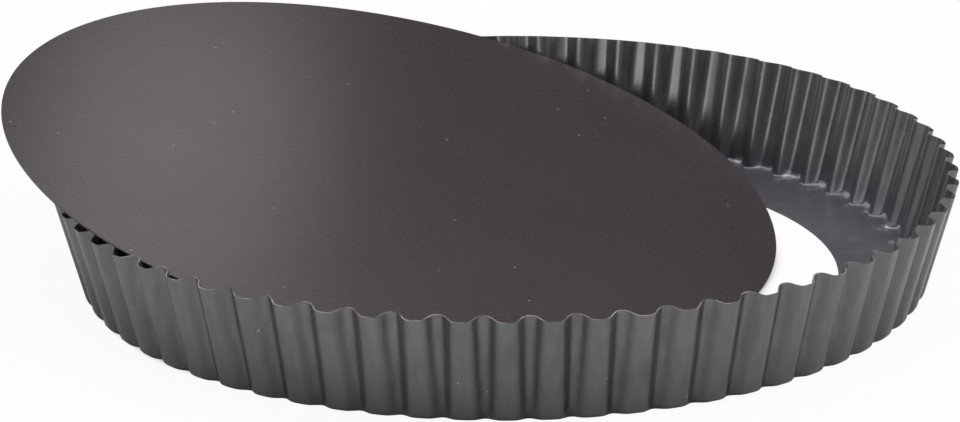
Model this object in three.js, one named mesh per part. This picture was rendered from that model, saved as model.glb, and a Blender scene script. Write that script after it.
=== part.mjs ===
// Loose-bottom quiche tin: a fluted ring of thin pressed steel whose foot turns in to a flat ledge
// round a wide opening, and a flat round base that lies loose on that ledge. Here the base is
// lifted out and set down at a slant: its low edge stands on the table through the opening and its
// high side leans on the rim. Millimetres, +Z up, the table at z = 0, the base rising towards -X.
import * as THREE from 'three';

// Ring, measured over the outer faces of the sheet
const RIM_DIAMETER = 280;
const FOOT_DIAMETER = 261;
const TIN_HEIGHT = 35;
const OPENING_DIAMETER = 207;
const RING_SHEET = 0.5;

// Flutes: waves of the wall, a little deeper and with steeper sides at the rim, where RIM_EASE, a share
// from 0 to 1, flattens the lobes and grooves. At the foot the lobes turn in to the ledge in a wide bend
// and the grooves in a tight one, so the flutes end at the ledge.
const FLUTE_COUNT = 65;
const RIM_FLUTE_DEPTH = 3.4;
const FOOT_FLUTE_DEPTH = 2.8;
const RIM_GROOVE_SHARPNESS = 1.35;
const FOOT_GROOVE_SHARPNESS = 1.4;
const RIM_EASE = 0.9;
const RIM_DIP = 1.05;
const LOBE_BEND_RADIUS = 4.5;
const GROOVE_BEND_RADIUS = 0.8;

// Base: its edge stays at least this far inside the lobes' bend when it lies flat on the ledge
const BASE_SHEET = 0.5;
const BASE_CLEARANCE = 2.65;

// How the base is set down
const BASE_SHIFT = 39.2;
const REST_GAP = 0.3;
const STEEPEST_LEAN = Math.PI / 4;
const LEAN_STEP = Math.PI / 1800;

// Facets
const STEPS_PER_FLUTE = 8;
const BEND_STEPS = 2;
const BASE_STEPS = 144;
const SAMPLES_PER_FLUTE = 32;
const SAMPLE_LEVELS = 6;
const LEAN_HALVINGS = 20;

const COATED_STEEL = { color: 0x55565a, roughness: 0.45, metalness: 0.55 };
const COATED_BASE = { color: 0x4c4748, roughness: 0.5, metalness: 0.4 };

const RIM_RADIUS = RIM_DIAMETER / 2;
const FOOT_RADIUS = FOOT_DIAMETER / 2;
const OPENING_RADIUS = OPENING_DIAMETER / 2;
const BASE_RADIUS = FOOT_RADIUS - RING_SHEET - LOBE_BEND_RADIUS - BASE_CLEARANCE;

// The wall's line over the outer lobes runs from the foot to the rim, which dips at each lobe
const LOBE_HEIGHT = TIN_HEIGHT - RIM_DIP;
const WALL_TURN = Math.atan2(LOBE_HEIGHT, RIM_RADIUS - FOOT_RADIUS);

// Where a point of the wave lies between the crest of an outer lobe, 0, and the bottom of a groove, 1,
// and how that changes with the angle. One lobe lies on -X. The climb is 0 at the foot and 1 at the
// rim, where the wave eases into flatter lobes and grooves with steeper sides.
function groove(angle, climb) {
  const sharpness = THREE.MathUtils.lerp(FOOT_GROOVE_SHARPNESS, RIM_GROOVE_SHARPNESS, climb);
  const ease = RIM_EASE * climb;
  const phase = FLUTE_COUNT * (angle - Math.PI);
  const wave = (1 - Math.cos(phase)) / 2;
  const waveSlope = (FLUTE_COUNT * Math.sin(phase)) / 2;
  const eased = THREE.MathUtils.lerp(wave, THREE.MathUtils.smoothstep(wave, 0, 1), ease);
  const easedSlope = THREE.MathUtils.lerp(1, 6 * wave * (1 - wave), ease) * waveSlope;
  return { share: eased ** sharpness, slope: sharpness * eased ** (sharpness - 1) * easedSlope };
}

// Outer face, radius and height, part of the way round the bend between the ledge and the wall
function bendPoint(footRadius, bendRadius, turn) {
  const outerBend = bendRadius + RING_SHEET;
  return new THREE.Vector2(
    footRadius + outerBend * (Math.sin(turn) - Math.tan(WALL_TURN / 2)),
    outerBend * (1 - Math.cos(turn)),
  );
}

// Stations along the sheet, from the opening out along the ledge, round the bend and up to the rim.
// Each gives the outer face over a lobe and in a groove; inset and rise lead on to the inner face.
function sheetStations() {
  const opening = new THREE.Vector2(OPENING_RADIUS, 0);
  const stations = [{ climb: 0, lobe: opening, groove: opening, inset: 0, rise: RING_SHEET }];
  for (let step = 0; step <= BEND_STEPS; step++) {
    const turn = (WALL_TURN * step) / BEND_STEPS;
    stations.push({
      climb: 0,
      lobe: bendPoint(FOOT_RADIUS, LOBE_BEND_RADIUS, turn),
      groove: bendPoint(FOOT_RADIUS - FOOT_FLUTE_DEPTH, GROOVE_BEND_RADIUS, turn),
      inset: RING_SHEET * Math.sin(turn),
      rise: RING_SHEET * Math.cos(turn),
    });
  }
  stations.push({
    climb: 1,
    lobe: new THREE.Vector2(RIM_RADIUS, LOBE_HEIGHT),
    groove: new THREE.Vector2(RIM_RADIUS - RIM_FLUTE_DEPTH, TIN_HEIGHT),
    inset: RING_SHEET / Math.sin(WALL_TURN),
    rise: 0,
  });
  return stations;
}

// A point of the fluted sheet. The inner face keeps its distance square to the wave of the wall.
function sheetPoint(station, angle, inner) {
  const { share, slope } = groove(angle, station.climb);
  const outer = station.lobe.clone().lerp(station.groove, share);
  const waveTilt = ((station.groove.x - station.lobe.x) * slope) / outer.x;
  const inset = inner ? station.inset / Math.hypot(1, waveTilt) : 0;
  const along = outer.x - inset;
  const across = inset * waveTilt;
  return new THREE.Vector3(
    along * Math.cos(angle) - across * Math.sin(angle),
    along * Math.sin(angle) + across * Math.cos(angle),
    outer.y + (inner ? station.rise : 0),
  );
}

// A plain ring turned from the sheet's section, whose points are then moved onto the flutes
function flutedRingGeometry() {
  const stations = sheetStations();
  const section = [
    ...stations.map((station) => ({ station, inner: false })),
    ...stations.toReversed().map((station) => ({ station, inner: true })),
  ];
  section.push(section[0]);
  const outline = section.map(({ station, inner }) => new THREE.Vector2(
    station.lobe.x - (inner ? station.inset : 0),
    station.lobe.y + (inner ? station.rise : 0),
  ));
  const geometry = new THREE.LatheGeometry(outline, FLUTE_COUNT * STEPS_PER_FLUTE);
  geometry.rotateX(Math.PI / 2);
  const position = geometry.attributes.position;
  for (let index = 0; index < position.count; index++) {
    const angle = Math.atan2(position.getY(index), position.getX(index));
    const { station, inner } = section[index % section.length];
    const point = sheetPoint(station, angle, inner);
    position.setXYZ(index, point.x, point.y, point.z);
  }
  geometry.computeVertexNormals();
  return geometry;
}

function looseBaseGeometry() {
  const outline = [
    new THREE.Vector2(0, 0),
    new THREE.Vector2(BASE_RADIUS, 0),
    new THREE.Vector2(BASE_RADIUS, BASE_SHEET),
    new THREE.Vector2(0, BASE_SHEET),
  ];
  const geometry = new THREE.LatheGeometry(outline, BASE_STEPS);
  geometry.rotateX(Math.PI / 2);
  return geometry;
}

// The low edge stands on the table inside the opening, or on the ledge where it lies past the opening
function leanBase(base, lean) {
  const lowEdge = BASE_RADIUS * Math.cos(lean) - BASE_SHIFT;
  const seat = lowEdge + REST_GAP < OPENING_RADIUS ? 0 : RING_SHEET;
  base.position.set(-BASE_SHIFT, 0, seat + REST_GAP + BASE_RADIUS * Math.sin(lean));
  base.rotation.y = lean;
  base.updateMatrixWorld();
}

// In the base's own frame, a point is free where it keeps the gap and isn't over the base
function isFree(point) {
  const pastEdge = Math.hypot(point.x, point.y) - BASE_RADIUS;
  const pastFace = Math.max(-point.z, point.z - BASE_SHEET);
  const gap = Math.hypot(Math.max(pastEdge, 0), Math.max(pastFace, 0));
  const isOverBase = pastEdge < 0 && point.z > 0;
  return gap >= REST_GAP && !isOverBase;
}

// Points all over the wall's two faces, which run straight from the bend to the rim, starting on -X
function wallPoints() {
  const [foot, rim] = sheetStations().slice(-2);
  const samples = FLUTE_COUNT * SAMPLES_PER_FLUTE;
  const points = [];
  for (let sample = 0; sample < samples; sample++) {
    const angle = Math.PI + (2 * Math.PI * sample) / samples;
    for (const inner of [false, true]) {
      const low = sheetPoint(foot, angle, inner);
      const high = sheetPoint(rim, angle, inner);
      for (let level = 0; level <= SAMPLE_LEVELS; level++) {
        points.push(low.clone().lerp(high, level / SAMPLE_LEVELS));
      }
    }
  }
  return points;
}

// The base settles at the least lean at which the whole waved wall and its rim stay below or beside it
function settleBase(base) {
  const points = wallPoints();
  const isClear = (lean) => {
    leanBase(base, lean);
    const toBase = base.matrixWorld.clone().invert();
    return points.every((point) => isFree(point.clone().applyMatrix4(toBase)));
  };
  let clear = LEAN_STEP;
  while (clear < STEEPEST_LEAN && !isClear(clear)) clear += LEAN_STEP;
  let tooFlat = clear - LEAN_STEP;
  for (let halving = 0; halving < LEAN_HALVINGS; halving++) {
    const lean = (tooFlat + clear) / 2;
    if (isClear(lean)) clear = lean;
    else tooFlat = lean;
  }
  leanBase(base, clear);
}

const ring = new THREE.Mesh(flutedRingGeometry(), new THREE.MeshStandardMaterial(COATED_STEEL));
ring.name = 'fluted_ring';

const base = new THREE.Mesh(looseBaseGeometry(), new THREE.MeshStandardMaterial(COATED_BASE));
base.name = 'loose_base';
settleBase(base);

// The origin is the middle of the footprint, on the table
const tin = new THREE.Group();
tin.add(ring, base);
const footprint = new THREE.Box3().setFromObject(tin, true).getCenter(new THREE.Vector3());
tin.position.set(-footprint.x, -footprint.y, 0);

export default tin;
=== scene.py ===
"""Loose-bottom quiche tin: a fluted ring with a flat ledge, and a flat base that leans on its rim."""
import math
import random
from typing import NamedTuple

import bmesh
import bpy
from bpy.props import FloatProperty, FloatVectorProperty, IntProperty, PointerProperty
from mathutils import Matrix, Vector


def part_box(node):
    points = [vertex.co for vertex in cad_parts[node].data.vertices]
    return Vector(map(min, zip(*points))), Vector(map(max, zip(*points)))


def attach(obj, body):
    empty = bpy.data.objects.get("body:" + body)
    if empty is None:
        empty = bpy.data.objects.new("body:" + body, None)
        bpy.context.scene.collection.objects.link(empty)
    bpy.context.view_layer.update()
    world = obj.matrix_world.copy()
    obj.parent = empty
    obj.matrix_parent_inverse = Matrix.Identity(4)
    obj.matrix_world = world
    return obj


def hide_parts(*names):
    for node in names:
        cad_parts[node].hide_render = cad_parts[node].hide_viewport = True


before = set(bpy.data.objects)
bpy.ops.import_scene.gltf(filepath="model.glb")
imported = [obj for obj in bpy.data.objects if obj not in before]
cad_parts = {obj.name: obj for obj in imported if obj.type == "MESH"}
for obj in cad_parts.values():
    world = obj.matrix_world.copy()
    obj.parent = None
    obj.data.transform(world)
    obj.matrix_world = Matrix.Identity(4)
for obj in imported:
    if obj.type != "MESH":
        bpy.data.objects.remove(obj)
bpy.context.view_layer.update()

bl_info = {
    "name": "Loose-Bottom Quiche Tin",
    "version": (1, 0, 0),
    "blender": (4, 5, 0),
    "location": "View3D > Sidebar > Quiche Tin",
    "description": "Makes a fluted tin ring and its loose base, finished in coated steel",
    "category": "Add Mesh",
}

MM = 0.001
WHITE = (1.0, 1.0, 1.0)

# Where the frame has the two pieces
RING_LOW, RING_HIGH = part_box("fluted_ring")
BASE_LOW, BASE_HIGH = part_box("loose_base")


def ring_axis(size):
    """Where the ring's axis meets the table."""
    return Vector((RING_LOW.x + size.rim_radius, 0, 0))


# Sizes and colours that a user may change

def length(name, description, default):
    """A size in metres, shown in the scene's own unit."""
    return FloatProperty(name=name, description=description, default=default, min=0.0,
                         precision=5, subtype="DISTANCE", unit="LENGTH")


def share(name, description, default):
    """A number from 0 to 1."""
    return FloatProperty(name=name, description=description, default=default,
                         min=0.0, max=1.0, subtype="FACTOR")


def sharpness(name, default):
    """The power that a wave is raised to, which narrows its grooves."""
    return FloatProperty(name=name, description="1 is an even wave, more is a narrower groove",
                         default=default, min=1.0)


def colour(name, description, default):
    """A linear colour."""
    return FloatVectorProperty(name=name, description=description, default=default,
                               size=3, min=0.0, max=1.0, subtype="COLOR")


def turn(name, description, default):
    """An angle in radians, shown in degrees."""
    return FloatProperty(name=name, description=description, default=default,
                         subtype="ANGLE", unit="ROTATION")


class TinRingSize(bpy.types.PropertyGroup):
    """Sizes of the fluted ring, over the outer face of its sheet."""

    rim_radius: length("Rim radius", "Ring's axis to the lobes at the rim", 140 * MM)
    foot_radius: length("Foot radius", "Ring's axis to the lobes at the foot", 130.5 * MM)
    height: length("Height", "Table to the top of the rim", RING_HIGH.z - RING_LOW.z)
    opening_radius: length("Opening radius", "Ring's axis to the edge of the ledge", 103.5 * MM)
    sheet: length("Sheet", "Thickness of the sheet", 0.5 * MM)
    lobe_bend_radius: length("Lobe bend radius", "Inner radius of the foot's bend at a lobe", 2.8 * MM)
    groove_bend_radius: length("Groove bend radius", "Inner radius of the foot's bend at a groove",
                               0.8 * MM)
    flute_count: IntProperty(name="Flutes", description="Lobes round the wall", default=65, min=3)
    rim_flute_depth: length("Rim flute depth", "Lobe to groove at the rim", 3.4 * MM)
    foot_flute_depth: length("Foot flute depth", "Lobe to groove at the foot", 2.8 * MM)
    rim_sharpness: sharpness("Rim groove sharpness", 1.55)
    foot_sharpness: sharpness("Foot groove sharpness", 2.4)
    rim_ease: share("Rim ease", "How much the lobes and grooves flatten at the rim", 0.6)
    rim_dip: length("Rim dip", "How far the rim dips at each lobe", 1.05 * MM)
    edge_round: length("Edge round", "Rounding of the sheet's cut edges", 0.1 * MM)
    press_scatter: share("Press scatter", "How much the pressed flutes differ from each other", 0.05)


class TinBaseSize(bpy.types.PropertyGroup):
    """Sizes of the loose base."""

    radius: length("Radius", "Middle of the base to its edge", (BASE_HIGH.y - BASE_LOW.y) / 2)
    sheet: length("Sheet", "Thickness of the sheet", 0.5 * MM)
    edge_round: length("Edge round", "Rounding of the base's edge", 0.15 * MM)


class TinFinish(bpy.types.PropertyGroup):
    """Colours and sheen of the coatings and of the bare steel, with the tints that paint light and
    shade on the ring.
    """

    ring_colour: colour("Ring coating", "Coating of the ring", (0.175, 0.174, 0.178))
    ring_metal: share("Ring metal", "How much the ring's coating reflects like metal", 0.75)
    ring_roughness: share("Ring roughness", "Spread of the ring's reflections", 0.26)
    # Painted reflection: a cool, bluish tint on the ledge and bend that stands in for the bluish light
    # they reflect
    ledge_reflection_tint: colour("Ledge coating", "Cooler coating of the ring's ledge", (0.155, 0.153, 0.184))
    # Painted light: a lighter, warmer tint that brightens the outer foot
    foot_light_tint: colour("Foot coating", "Warmer coating round the foot", (0.187, 0.181, 0.165))
    base_colour: colour("Base coating", "Coating of the base", (0.0318, 0.0248, 0.027))
    base_gleam: colour("Base gleam", "Tint of the base's reflections", (1.0, 0.86, 0.9))
    base_roughness: share("Base roughness", "Spread of the base's reflections", 0.25)
    # Also the colour of the painted highlight low on the ring's inner bend
    speck_and_highlight_colour: colour("Specks", "Bare steel where a coating is pitted or rubbed", (0.6, 0.58, 0.56))
    edge_colour: colour("Cut edge", "Bare steel along the rim's cut edge", (0.17, 0.163, 0.158))
    edge_roughness: share("Cut edge roughness", "Spread of the cut edge's reflections", 0.38)


class TinMarks(bpy.types.PropertyGroup):
    """Sizes of the marks that pressing, coating and use leave."""

    streak_width: length("Streaks", "Width of the drawing streaks up the wall", 2.2 * MM)
    smudge_width: length("Smudges", "Width of the dull smudges on the ring", 7 * MM)
    ring_cloud: length("Ring clouds", "Width of the soft changes of tone on the ring", 24 * MM)
    worn_depth: length("Worn depth", "How far down from the rim its coating is worn", 2 * MM)
    worn_patch: length("Worn patches", "Width of the worn patches along the rim", 3.5 * MM)
    edge_run: length("Edge runs", "Length of the bright and dull runs of the cut edge", 4 * MM)
    ring_speck: length("Ring specks", "Radius of a speck on the ring", 0.3 * MM)
    ring_speck_spacing: length("Ring speck spacing", "Spacing of the places for specks", 9 * MM)
    ring_speck_share: share("Ring speck share", "Share of those places that have a speck", 0.07)
    base_grain: length("Base grain", "Width of the fine grain of the base", 0.9 * MM)
    base_cloud: length("Base clouds", "Width of the soft changes of sheen on the base", 45 * MM)
    base_speck: length("Base specks", "Radius of a speck on the base", 0.38 * MM)
    base_speck_spacing: length("Base speck spacing", "Spacing of the places for specks", 14 * MM)
    base_speck_share: share("Base speck share", "Share of those places that have a speck", 0.1)
    relief: length("Relief", "Height of the streaks and of the grain", 0.05 * MM)


class TinStage(bpy.types.PropertyGroup):
    """Camera, floor and light."""

    camera_turn: turn("Camera turn", "Camera's place round the ring's axis", math.radians(26.06))
    camera_distance: length("Camera distance", "Ring's axis to the camera, on the table", 1.58188)
    camera_height: length("Camera height", "Table to the camera", 0.559513)
    camera_pan: turn("Camera pan", "Camera's aim to the right of the ring's axis", -0.00476)
    camera_pitch: turn("Camera pitch", "Camera's aim below the horizon", 0.32865)
    camera_roll: turn("Camera roll", "Turn of the camera about its own view", -0.00678)
    camera_lens: FloatProperty(name="Lens", description="Focal length on a 36 mm sensor",
                               default=202.526, subtype="DISTANCE_CAMERA")
    floor_colour: colour("Floor", "Colour of the floor", (0.69, 0.69, 0.69))
    floor_size: length("Floor size", "Middle of the floor to its edge", 12.0)
    floor_gap: length("Floor gap", "How far the floor lies below the tin", 0.1 * MM)
    floor_lift: share("Floor lift", "Share of plain white that the floor shows", 0.94)
    gleam_lift: share("Gleam lift", "Share of plain white that the floor shows in reflections", 0.035)
    shade_fade: length("Shade fade", "Width of the edge of the shade under the tin", 6 * MM)
    gleam_fade: length("Gleam fade", "Width of the strip beside the foot that reflections show dim",
                       18 * MM)
    room_colour: colour("Room", "Colour of the room's light", (0.025, 0.025, 0.025))


# Shader nodes

class Value:
    """A shader socket that takes part in Python arithmetic; each operator adds a Math node."""

    def __init__(self, finish, socket):
        self.finish = finish
        self.socket = socket

    def __add__(self, other):
        return self.finish.maths("ADD", self, other)

    def __radd__(self, other):
        return self.finish.maths("ADD", other, self)

    def __sub__(self, other):
        return self.finish.maths("SUBTRACT", self, other)

    def __rsub__(self, other):
        return self.finish.maths("SUBTRACT", other, self)

    def __mul__(self, other):
        return self.finish.maths("MULTIPLY", self, other)

    def __rmul__(self, other):
        return self.finish.maths("MULTIPLY", other, self)

    def __gt__(self, other):
        return self.finish.maths("GREATER_THAN", self, other)

    def __lt__(self, other):
        return self.finish.maths("LESS_THAN", self, other)


class Finish:
    """A node tree under construction, of a material or of the world."""

    # The sockets of a Mix node that are for colours
    MIX_FACTOR, MIX_PLAIN, MIX_OTHER, MIX_RESULT = 0, 6, 7, 2

    def __init__(self, holder):
        holder.use_nodes = True
        self.tree = holder.node_tree
        self.tree.nodes.clear()

    def node(self, kind, settings=None, sockets=None, output=0):
        """Adds one node, with its settings first and then its sockets' values or links."""
        made = self.tree.nodes.new(kind)
        for name, value in (settings or {}).items():
            setattr(made, name, value)
        for key, value in (sockets or {}).items():
            if isinstance(value, Value):
                self.tree.links.new(value.socket, made.inputs[key])
            else:
                made.inputs[key].default_value = value
        return Value(self, made.outputs[output]) if made.outputs else None

    def maths(self, operation, *values):
        """A number worked out from others."""
        return self.node("ShaderNodeMath", {"operation": operation}, dict(enumerate(values)))

    def vectors(self, operation, first, second, output="Vector"):
        """A vector worked out from two others, or a number from the output named Value."""
        pair = {0: first, 1: second}
        return self.node("ShaderNodeVectorMath", {"operation": operation}, pair, output)

    def parts(self, vector):
        """The x, y and z of a vector."""
        return [self.node("ShaderNodeSeparateXYZ", None, {"Vector": vector}, axis) for axis in "XYZ"]

    def place(self, squeeze=(1.0, 1.0, 1.0)):
        """Object coordinates; less than 1 along an axis draws a pattern out that way."""
        where = self.node("ShaderNodeTexCoord", output="Object")
        return self.node("ShaderNodeMapping", None, {"Vector": where, "Scale": squeeze})

    def noise(self, grain, where, detail=2.0, roughness=0.5):
        """Soft noise about 0.5 whose grain is a size in metres."""
        return self.node("ShaderNodeTexNoise", None, {
            "Vector": where, "Scale": 1 / grain, "Detail": detail, "Roughness": roughness})

    def between(self, value, low, high):
        """0 below low, 1 above high and a smooth climb between them."""
        return self.node("ShaderNodeMapRange", {"interpolation_type": "SMOOTHSTEP"}, {
            "Value": value, "From Min": low, "From Max": high})

    def specks(self, radius, spacing, kept, where):
        """Small dots at a share of the places that are scattered over a flat pair of coordinates."""
        flat = {"voronoi_dimensions": "2D"}
        cells = {"Vector": where, "Scale": 1 / spacing}
        distance = self.node("ShaderNodeTexVoronoi", flat, cells, output="Distance")
        tint = self.node("ShaderNodeTexVoronoi", flat, cells, output="Color")
        chance = self.node("ShaderNodeSeparateColor", None, {"Color": tint}, output="Red")
        return (distance < radius / spacing) * (chance < kept)

    def mix(self, factor, plain, other):
        """A colour between two colours."""
        colours = {self.MIX_FACTOR: factor, self.MIX_PLAIN: plain, self.MIX_OTHER: other}
        return self.node("ShaderNodeMix", {"data_type": "RGBA"}, colours, self.MIX_RESULT)

    def toned(self, tone, tint, darkest, lightest):
        """A colour times a factor that goes from darkest to lightest as the tone goes from 0 to 1."""
        return self.mix(tone, rgba(tint, darkest), rgba(tint, lightest))

    def bump(self, height, strength, distance):
        """A normal that follows a fine relief of at most a distance in metres."""
        return self.node("ShaderNodeBump", None, {
            "Height": height, "Strength": strength, "Distance": distance})

    def surface(self, **sockets):
        """A Principled surface; an underscore in a name stands for a space."""
        shader = self.node("ShaderNodeBsdfPrincipled", None, {
            name.replace("_", " "): value for name, value in sockets.items()})
        self.node("ShaderNodeOutputMaterial", None, {"Surface": shader})


def rgba(tint, factor=1.0):
    """A colour with full alpha, made lighter or darker by a factor."""
    return (*(min(part * factor, 1.0) for part in tint), 1.0)


# Materials

class RingSpot:
    """Where a point of the ring's surface lies: how far out, how high, on which side and flute."""

    # How far inside the foot's lobes the wall starts; inside that lie the bend and the ledge, which get
    # the painted cool reflection tint
    BEND_WIDTH = 4 * MM
    # Heights between which the foot's painted tints fade out: the lighter, warmer one outside and the
    # ledge's cool one inside
    FOOT_FADE = (2 * MM, 12 * MM)
    # How far inside the foot's lobes the painted highlight on the inner bend starts, and is full
    RUB_START, RUB_FULL = 8 * MM, 5 * MM
    # Heights between which that painted highlight fades out
    HIGHLIGHT_FADE = (1.5 * MM, 3.5 * MM)

    def __init__(self, made, size):
        self.where = made.place()
        x, y, self.height = made.parts(made.vectors("SUBTRACT", self.where, ring_axis(size)))
        self.reach = made.maths("SQRT", x * x + y * y)
        angle = made.maths("ARCTAN2", y, x)
        self.unrolled = made.node("ShaderNodeCombineXYZ", None, {
            "X": angle * size.rim_radius, "Y": self.height})
        outward = made.node("ShaderNodeCombineXYZ", None, {"X": x, "Y": y})
        normal = made.node("ShaderNodeNewGeometry", output="Normal")
        self.outer = made.vectors("DOT_PRODUCT", normal, outward, "Value") > 0
        self.inner = 1 - self.outer
        self.in_groove = (1 - made.maths("COSINE", (angle - math.pi) * size.flute_count)) * 0.5
        self.on_wall = made.between(self.reach, size.foot_radius - self.BEND_WIDTH, size.foot_radius)
        self.near_foot = self.on_wall * (1 - made.between(self.height, *self.FOOT_FADE))
        at_inner_bend = made.between(
            self.reach, size.foot_radius - self.RUB_START, size.foot_radius - self.RUB_FULL)
        self.bend_highlight_band = self.inner * at_inner_bend * (1 - made.between(self.height, *self.HIGHLIGHT_FADE))


# Patterns on the ring are drawn out along Z, up the wall
STREAK_SQUEEZE = (1.0, 1.0, 0.12)
SMUDGE_SQUEEZE = (1.0, 1.0, 0.35)


def ring_coating(finish, marks, size):
    """Satin grey non-stick coating with drawing streaks, dull smudges, specks and a worn rim, and
    painted light: a cool reflection tint on the ledge, a lighter warm foot, shade on the groove flanks
    and a highlight low on the inner bend.
    """
    material = bpy.data.materials.new("ring_coating")
    made = Finish(material)
    spot = RingSpot(made, size)
    streaks = made.noise(marks.streak_width, made.place(STREAK_SQUEEZE), detail=3.0)
    blots = made.noise(marks.smudge_width, made.place(SMUDGE_SQUEEZE), detail=3.0)
    smudges = made.between(blots, 0.52, 0.72)
    clouds = made.noise(marks.ring_cloud, spot.where)

    # Dark scuffs on the flanks of the grooves, with ragged edges; the darkening is also painted shade
    # that deepens the flanks' dark bands
    ragged = spot.in_groove + (streaks - 0.5) * 0.7
    flanks = made.between(ragged, 0.5, 0.7) * (1 - made.between(ragged, 0.85, 1.0))
    scuffs_and_flank_shade = spot.on_wall * spot.outer * flanks

    # Painted highlight: bright patches low on the inner bend, where its hollows catch the light
    bend_highlight = spot.bend_highlight_band * smudges

    # Thin coating in patches along the rim
    patches = made.between(made.noise(marks.worn_patch, spot.where), 0.45, 0.7)
    worn = made.between(spot.height, size.height - marks.worn_depth, size.height) * patches
    dots = spot.on_wall * made.specks(
        marks.ring_speck, marks.ring_speck_spacing, marks.ring_speck_share, spot.unrolled)

    tone = made.between(streaks * 0.6 + clouds * 0.4 - smudges * 0.1, 0.25, 0.75)
    coat = made.toned(tone, finish.ring_colour, darkest=0.85, lightest=1.15)
    layers = (
        # where it lies, how much it covers, its colour
        # Painted reflection: cool tint on the ledge and bend, and low on the inner wall
        (1 - spot.on_wall * (1 - spot.near_foot * spot.inner), 0.8, rgba(finish.ledge_reflection_tint)),
        # Painted light: the outer foot made lighter and warmer
        (spot.near_foot * spot.outer, 0.6, rgba(finish.foot_light_tint)),
        # Scuffs, and painted shade on the groove flanks
        (scuffs_and_flank_shade, 0.12, rgba(finish.ring_colour, 0.55)),
        (worn, 0.35, rgba(finish.edge_colour, 1.3)),
        # Painted highlight low on the inner bend
        (bend_highlight, 0.7, rgba(finish.speck_and_highlight_colour)),
        (dots, 0.6, rgba(finish.speck_and_highlight_colour)),
    )
    for mask, cover, tint in layers:
        coat = made.mix(mask * cover, coat, tint)
    made.surface(
        Base_Color=coat,
        Metallic=finish.ring_metal,
        Roughness=(finish.ring_roughness - 0.05 + 0.10 * clouds + 0.06 * streaks + 0.08 * smudges
                   - 0.08 * worn + 0.05 * (1 - spot.on_wall)),
        Normal=made.bump(streaks * spot.outer, 0.04, marks.relief),
    )
    return material


def cut_edge(finish, marks):
    """Bare sheared steel, with short bright and dull runs."""
    material = bpy.data.materials.new("cut_edge")
    made = Finish(material)
    runs = made.between(made.noise(marks.edge_run, made.place(), detail=3.0), 0.35, 0.7)
    made.surface(
        Base_Color=made.toned(runs, finish.edge_colour, darkest=0.35, lightest=1.4),
        Metallic=1.0,
        Roughness=finish.edge_roughness + 0.12 * runs,
    )
    return material


def base_coating(finish, marks):
    """Dull brownish grey non-stick coating with an even, very fine grain and a few bright specks."""
    material = bpy.data.materials.new("base_coating")
    made = Finish(material)
    where = made.place()
    grain = made.noise(marks.base_grain, where, roughness=0.7)
    clouds = made.noise(marks.base_cloud, where)
    dots = made.specks(marks.base_speck, marks.base_speck_spacing, marks.base_speck_share, where)
    tone = made.between(grain, 0.35, 0.65)
    coat = made.toned(tone, finish.base_colour, darkest=0.86, lightest=1.14)
    made.surface(
        Base_Color=made.mix(dots * 0.3, coat, rgba(finish.speck_and_highlight_colour)),
        Specular_Tint=rgba(finish.base_gleam),
        Roughness=finish.base_roughness + 0.04 * clouds + 0.008 * tone,
        Normal=made.bump(grain, 0.03, marks.relief),
    )
    return material


# Shapes

# Facets of the base and of the rounded edges
BASE_STEPS = 288
BASE_EDGE_STEPS = 3
RING_EDGE_STEPS = 2
# Edges of the ring that turn by more than this are rounded
SHARP_ANGLE = math.radians(60)


def finished_piece(name, shape, materials):
    """A smooth-shaded mesh object at the origin from a bmesh, linked to the scene."""
    mesh = bpy.data.meshes.new(name)
    shape.to_mesh(mesh)
    shape.free()
    mesh.polygons.foreach_set("use_smooth", [True] * len(mesh.polygons))
    for material in materials:
        mesh.materials.append(material)
    piece = bpy.data.objects.new(name, mesh)
    bpy.context.scene.collection.objects.link(piece)
    return piece


def lerp(start, end, part):
    """A number part of the way from start to end."""
    return start + (end - start) * part


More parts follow.
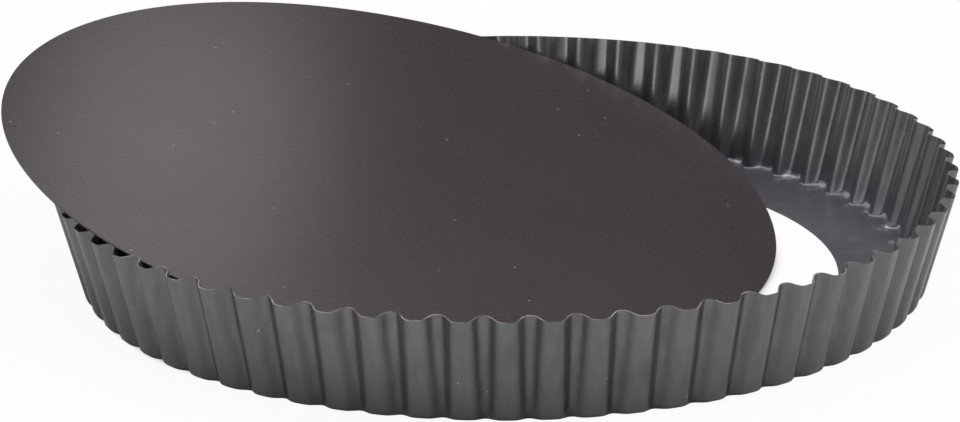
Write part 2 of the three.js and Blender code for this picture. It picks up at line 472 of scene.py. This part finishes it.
class FlutedSheet:
    """The outer face of the ring's sheet, as a form that the points of a grid are moved onto."""

    STEPS_PER_FLUTE = 24
    LEDGE_STEPS = 3
    BEND_STEPS = 6
    WALL_STEPS = 8
    SEED = 65
    # Points of the grid's two ends that lie nearer than this are joined
    JOIN_GAP = 0.01 * MM

    def __init__(self, size):
        self.size = size
        self.lobe_height = size.height - size.rim_dip
        self.wall_turn = math.atan2(self.lobe_height, size.rim_radius - size.foot_radius)
        draw = random.Random(self.SEED)
        self.groove_scatter = [draw.uniform(-1, 1) for _ in range(size.flute_count)]
        self.lobe_scatter = [draw.uniform(-1, 1) for _ in range(size.flute_count)]

    def bend(self, part):
        """Radius and height part of the way round the foot's bend, over a lobe and in a groove."""
        size = self.size
        angle = self.wall_turn * part
        radii = ((size.foot_radius, size.lobe_bend_radius + size.sheet),
                 (size.foot_radius - size.foot_flute_depth, size.groove_bend_radius + size.sheet))
        return [Vector((foot + bend * (math.sin(angle) - math.tan(self.wall_turn / 2)),
                        bend * (1 - math.cos(angle)))) for foot, bend in radii]

    def section(self):
        """Rows from the opening to the rim, each a climb from 0 at the foot to 1 at the rim, and then
        the radius and height over a lobe and in a groove."""
        size = self.size
        opening = Vector((size.opening_radius, 0))
        rim = (Vector((size.rim_radius, self.lobe_height)),
               Vector((size.rim_radius - size.rim_flute_depth, size.height)))
        rows = []
        for step in range(self.LEDGE_STEPS):
            part = step / self.LEDGE_STEPS
            rows.append((0, *(opening.lerp(end, part) for end in self.bend(0))))
        for step in range(self.BEND_STEPS):
            rows.append((0, *self.bend(step / self.BEND_STEPS)))
        for step in range(self.WALL_STEPS + 1):
            part = step / self.WALL_STEPS
            rows.append((part, *(foot.lerp(top, part) for foot, top in zip(self.bend(1), rim))))
        return rows

    def point(self, row, angle):
        """Where a point of a row lies at an angle round the ring's axis, one lobe being on -X."""
        climb, lobe, groove = row
        size = self.size
        turns = size.flute_count * (angle - math.pi) / (2 * math.pi)
        wave = (1 - math.cos(2 * math.pi * turns)) / 2
        eased = lerp(wave, wave * wave * (3 - 2 * wave), size.rim_ease * climb)
        inward = eased ** lerp(size.foot_sharpness, size.rim_sharpness, climb)
        deeper = climb * size.press_scatter * self.groove_scatter[math.floor(turns) % size.flute_count]
        lower = climb * size.press_scatter * self.lobe_scatter[round(turns) % size.flute_count]
        radius, height = lobe.lerp(groove, inward)
        radius -= (lobe.x - groove.x) * inward * deeper
        height -= size.rim_dip * lerp(abs(lower), abs(deeper), inward)
        return Vector((radius * math.cos(angle), radius * math.sin(angle), height))


def fluted_ring_shape(size):
    """The ring's outer face: a flat grid rolled up round the axis, onto the flutes, and joined."""
    form = FlutedSheet(size)
    rows = form.section()
    columns = size.flute_count * form.STEPS_PER_FLUTE
    shape = bmesh.new()
    bmesh.ops.create_grid(shape, x_segments=columns, y_segments=len(rows) - 1, size=1)
    for index, point in enumerate(shape.verts):
        row, column = divmod(index, columns + 1)
        point.co = form.point(rows[row], 2 * math.pi * column / columns)
    bmesh.ops.remove_doubles(shape, verts=shape.verts[:], dist=form.JOIN_GAP)
    # The first face is on the ledge, whose outer face looks down at the table
    shape.faces.ensure_lookup_table()
    shape.normal_update()
    if shape.faces[0].normal.z > 0:
        bmesh.ops.reverse_faces(shape, faces=shape.faces[:])
    bmesh.ops.translate(shape, verts=shape.verts[:], vec=ring_axis(size))
    return shape


def add_sheet(piece, size):
    """Gives the ring's face its sheet, inwards, with a bare rim and rounded cut edges."""
    wall = piece.modifiers.new("sheet", "SOLIDIFY")
    wall.thickness = size.sheet
    wall.offset = -1.0
    wall.use_even_offset = True
    wall.use_quality_normals = True
    wall.material_offset_rim = 1
    edge = piece.modifiers.new("edge_round", "BEVEL")
    edge.width = size.edge_round
    edge.segments = RING_EDGE_STEPS
    edge.limit_method = "ANGLE"
    edge.angle_limit = SHARP_ANGLE
    edge.harden_normals = True


def base_place(size):
    """The matrix that leans the base and sets it down where the frame has it."""
    # across = wide cos(lean) + thick sin(lean) and up = wide sin(lean) + thick cos(lean)
    across, up = BASE_HIGH.x - BASE_LOW.x, BASE_HIGH.z - BASE_LOW.z
    wide, thick = 2 * size.radius, size.sheet
    lean = math.asin((wide * up - thick * across) / (wide ** 2 - thick ** 2))
    middle = (BASE_HIGH.x - size.radius * math.cos(lean) - thick * math.sin(lean), 0,
              BASE_LOW.z + size.radius * math.sin(lean))
    return Matrix.Translation(middle) @ Matrix.Rotation(lean, 4, "Y")


def loose_base_shape(size):
    """A flat disc with a softly rounded edge, leaning on the rim."""
    shape = bmesh.new()
    bmesh.ops.create_circle(shape, cap_ends=True, segments=BASE_STEPS, radius=size.radius)
    top = bmesh.ops.extrude_face_region(shape, geom=shape.faces[:])["geom"]
    bmesh.ops.translate(shape, verts=[part for part in top if isinstance(part, bmesh.types.BMVert)],
                        vec=(0, 0, size.sheet))
    bmesh.ops.recalc_face_normals(shape, faces=shape.faces[:])
    brims = [edge for edge in shape.edges
             if abs(edge.verts[0].co.z - edge.verts[1].co.z) < size.sheet / 2]
    bmesh.ops.bevel(shape, geom=brims, affect="EDGES", offset=size.edge_round,
                    segments=BASE_EDGE_STEPS, profile=0.5, material=-1)
    bmesh.ops.transform(shape, verts=shape.verts[:], matrix=base_place(size))
    return shape


# Pieces

class TIN_OT_fluted_ring(bpy.types.Operator):
    """Make the fluted ring with its ledge, in coated sheet with a bare cut edge."""

    bl_idname = "tin.fluted_ring"
    bl_label = "Fluted Ring"
    bl_options = {"REGISTER", "UNDO"}

    def execute(self, context):
        scene = context.scene
        size, finish, marks = scene.tin_ring, scene.tin_finish, scene.tin_marks
        piece = finished_piece("ring_shell", fluted_ring_shape(size),
                               [ring_coating(finish, marks, size), cut_edge(finish, marks)])
        add_sheet(piece, size)
        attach(piece, "ring")
        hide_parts("fluted_ring")
        return {"FINISHED"}


class TIN_OT_loose_base(bpy.types.Operator):
    """Make the loose base, a flat coated disc that leans on the rim."""

    bl_idname = "tin.loose_base"
    bl_label = "Loose Base"
    bl_options = {"REGISTER", "UNDO"}

    def execute(self, context):
        scene = context.scene
        piece = finished_piece("base_disc", loose_base_shape(scene.tin_base),
                               [base_coating(scene.tin_finish, scene.tin_marks)])
        normals = piece.modifiers.new("flat_faces", "WEIGHTED_NORMAL")
        normals.mode = "FACE_AREA"
        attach(piece, "base")
        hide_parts("loose_base")
        return {"FINISHED"}


# Stage

class Lamp(NamedTuple):
    """A soft lamp aimed at the tin; as the camera sees it, aside is to the right of straight behind."""

    name: str
    aside_degrees: float
    height_degrees: float
    distance: float
    width: float
    depth: float
    watts: float


LAMPS = (
    Lamp("overhead", aside_degrees=40, height_degrees=80, distance=1.5, width=2.8, depth=2.8, watts=37),
    Lamp("sheen", aside_degrees=-3.4, height_degrees=33.2, distance=0.617, width=0.13, depth=0.13,
         watts=0.059),
    Lamp("left", aside_degrees=-105, height_degrees=20, distance=1.5, width=2.4, depth=1.0, watts=1.2),
    Lamp("front", aside_degrees=180, height_degrees=12, distance=2.0, width=2.0, depth=1.0, watts=1.4),
    Lamp("front_left", aside_degrees=-140, height_degrees=20, distance=1.8, width=1.2, depth=0.9,
         watts=5.7),
    Lamp("left_back", aside_degrees=-60, height_degrees=18, distance=1.5, width=0.8, depth=0.8,
         watts=3.1),
    Lamp("back_left", aside_degrees=-45, height_degrees=40, distance=1.5, width=0.7, depth=0.7,
         watts=2.6),
    Lamp("right", aside_degrees=90, height_degrees=25, distance=1.5, width=1.4, depth=0.8, watts=9.1),
)


def add_lamp(stage, lamp):
    """Sets up one lamp, which the camera doesn't see."""
    light = bpy.data.lights.new(lamp.name, "AREA")
    light.shape = "ELLIPSE"
    light.size = lamp.width
    light.size_y = lamp.depth
    light.energy = lamp.watts
    holder = bpy.data.objects.new(lamp.name, light)
    holder.visible_camera = False
    away = (Matrix.Rotation(stage.camera_turn - math.radians(lamp.aside_degrees), 3, "Z")
            @ Matrix.Rotation(math.radians(lamp.height_degrees), 3, "X") @ Vector((0, 1, 0)))
    holder.location = away * lamp.distance
    holder.rotation_euler = away.to_track_quat("Z", "Y").to_euler()
    bpy.context.scene.collection.objects.link(holder)


def floor_finish(stage, ring, base):
    """Matt white floor that shows part of its colour as plain white and keeps the tin's shadow."""
    material = bpy.data.materials.new("floor")
    made = Finish(material)
    across = made.node("ShaderNodeTexCoord", output="Object")
    below = Vector((0, 0, -stage.floor_gap))
    base_middle = Vector(((BASE_LOW.x + BASE_HIGH.x) / 2, 0, 0))
    from_ring = made.vectors("DISTANCE", across, ring_axis(ring) + below, "Value")
    from_base = made.vectors("DISTANCE", across, base_middle + below, "Value")

    # Only what lies both inside the ring and under the base stays in the shade
    shade_start = ring.foot_radius - stage.shade_fade
    outside = made.between(from_ring, shade_start, ring.foot_radius)
    uncovered = made.between(from_base, base.radius - stage.shade_fade, base.radius)
    open_floor = 1 - (1 - outside) * (1 - uncovered)
    beside = made.between(from_ring, shade_start, ring.foot_radius + stage.gleam_fade)

    camera, glossy, transmission = (made.node("ShaderNodeLightPath", output=f"Is {name} Ray")
                                    for name in ("Camera", "Glossy", "Transmission"))
    lift = (open_floor * (camera + transmission) * stage.floor_lift
            + beside * glossy * stage.gleam_lift)
    matt = made.node("ShaderNodeBsdfDiffuse", None, {"Color": rgba(stage.floor_colour)})
    white = made.node("ShaderNodeEmission", None, {"Color": rgba(WHITE), "Strength": 1.0})
    mixed = made.node("ShaderNodeMixShader", None, {0: lift, 1: matt, 2: white})
    made.node("ShaderNodeOutputMaterial", None, {"Surface": mixed})
    return material


def add_floor(stage, ring, base):
    """A wide flat floor just below the tin."""
    shape = bmesh.new()
    bmesh.ops.create_grid(shape, x_segments=1, y_segments=1, size=stage.floor_size)
    bmesh.ops.translate(shape, verts=shape.verts[:], vec=(0, 0, -stage.floor_gap))
    finished_piece("floor", shape, [floor_finish(stage, ring, base)])


def room_light(stage):
    """Dim even light from all round, which the camera sees as plain white."""
    world = bpy.data.worlds.new("room")
    made = Finish(world)
    light = made.node("ShaderNodeBackground", None, {"Color": rgba(stage.room_colour)})
    white = made.node("ShaderNodeBackground", None, {"Color": rgba(WHITE), "Strength": 1.0})
    seen = made.node("ShaderNodeLightPath", output="Is Camera Ray")
    mixed = made.node("ShaderNodeMixShader", None, {0: seen, 1: light, 2: white})
    made.node("ShaderNodeOutputWorld", None, {"Surface": mixed})
    return world


def add_camera(stage, ring):
    """The camera, placed round the ring's axis and aimed by its pan, pitch and roll."""
    camera = bpy.data.cameras.new("camera")
    camera.lens = stage.camera_lens
    holder = bpy.data.objects.new("camera", camera)
    place = ring_axis(ring) + Matrix.Rotation(stage.camera_turn, 3, "Z") @ Vector(
        (0, -stage.camera_distance, stage.camera_height))
    holder.matrix_world = (
        Matrix.Translation(place)
        @ Matrix.Rotation(stage.camera_turn - stage.camera_pan, 4, "Z")
        @ Matrix.Rotation(math.pi / 2 - stage.camera_pitch, 4, "X")
        @ Matrix.Rotation(stage.camera_roll, 4, "Z"))
    bpy.context.scene.collection.objects.link(holder)
    return holder


class TIN_OT_stage(bpy.types.Operator):
    """Make the floor, the lamps, the room's light and the camera."""

    bl_idname = "tin.stage"
    bl_label = "Stage"
    bl_options = {"REGISTER", "UNDO"}

    def execute(self, context):
        scene = context.scene
        stage = scene.tin_stage
        scene.view_settings.view_transform = "Standard"
        add_floor(stage, scene.tin_ring, scene.tin_base)
        for lamp in LAMPS:
            add_lamp(stage, lamp)
        scene.world = room_light(stage)
        scene.camera = add_camera(stage, scene.tin_ring)
        return {"FINISHED"}


# Add-on

class TIN_PT_sidebar(bpy.types.Panel):
    """Sizes, finishes and makers of the quiche tin."""

    bl_idname = "TIN_PT_sidebar"
    bl_label = "Quiche Tin"
    bl_space_type = "VIEW_3D"
    bl_region_type = "UI"
    bl_category = "Quiche Tin"

    def draw(self, context):
        for operator in OPERATORS:
            self.layout.operator(operator.bl_idname)
        for name, group in SETTINGS.items():
            box = self.layout.box()
            for entry in group.__annotations__:
                box.prop(getattr(context.scene, name), entry)


SETTINGS = {
    "tin_ring": TinRingSize,
    "tin_base": TinBaseSize,
    "tin_finish": TinFinish,
    "tin_marks": TinMarks,
    "tin_stage": TinStage,
}
OPERATORS = (TIN_OT_fluted_ring, TIN_OT_loose_base, TIN_OT_stage)


def register():
    for name, group in SETTINGS.items():
        bpy.utils.register_class(group)
        setattr(bpy.types.Scene, name, PointerProperty(type=group))
    for operator in OPERATORS:
        bpy.utils.register_class(operator)
    bpy.utils.register_class(TIN_PT_sidebar)


def unregister():
    bpy.utils.unregister_class(TIN_PT_sidebar)
    for operator in reversed(OPERATORS):
        bpy.utils.unregister_class(operator)
    for name, group in reversed(SETTINGS.items()):
        delattr(bpy.types.Scene, name)
        bpy.utils.unregister_class(group)


def main():
    register()
    bpy.ops.tin.fluted_ring()
    bpy.ops.tin.loose_base()
    bpy.ops.tin.stage()


if __name__ == "__main__":
    main()
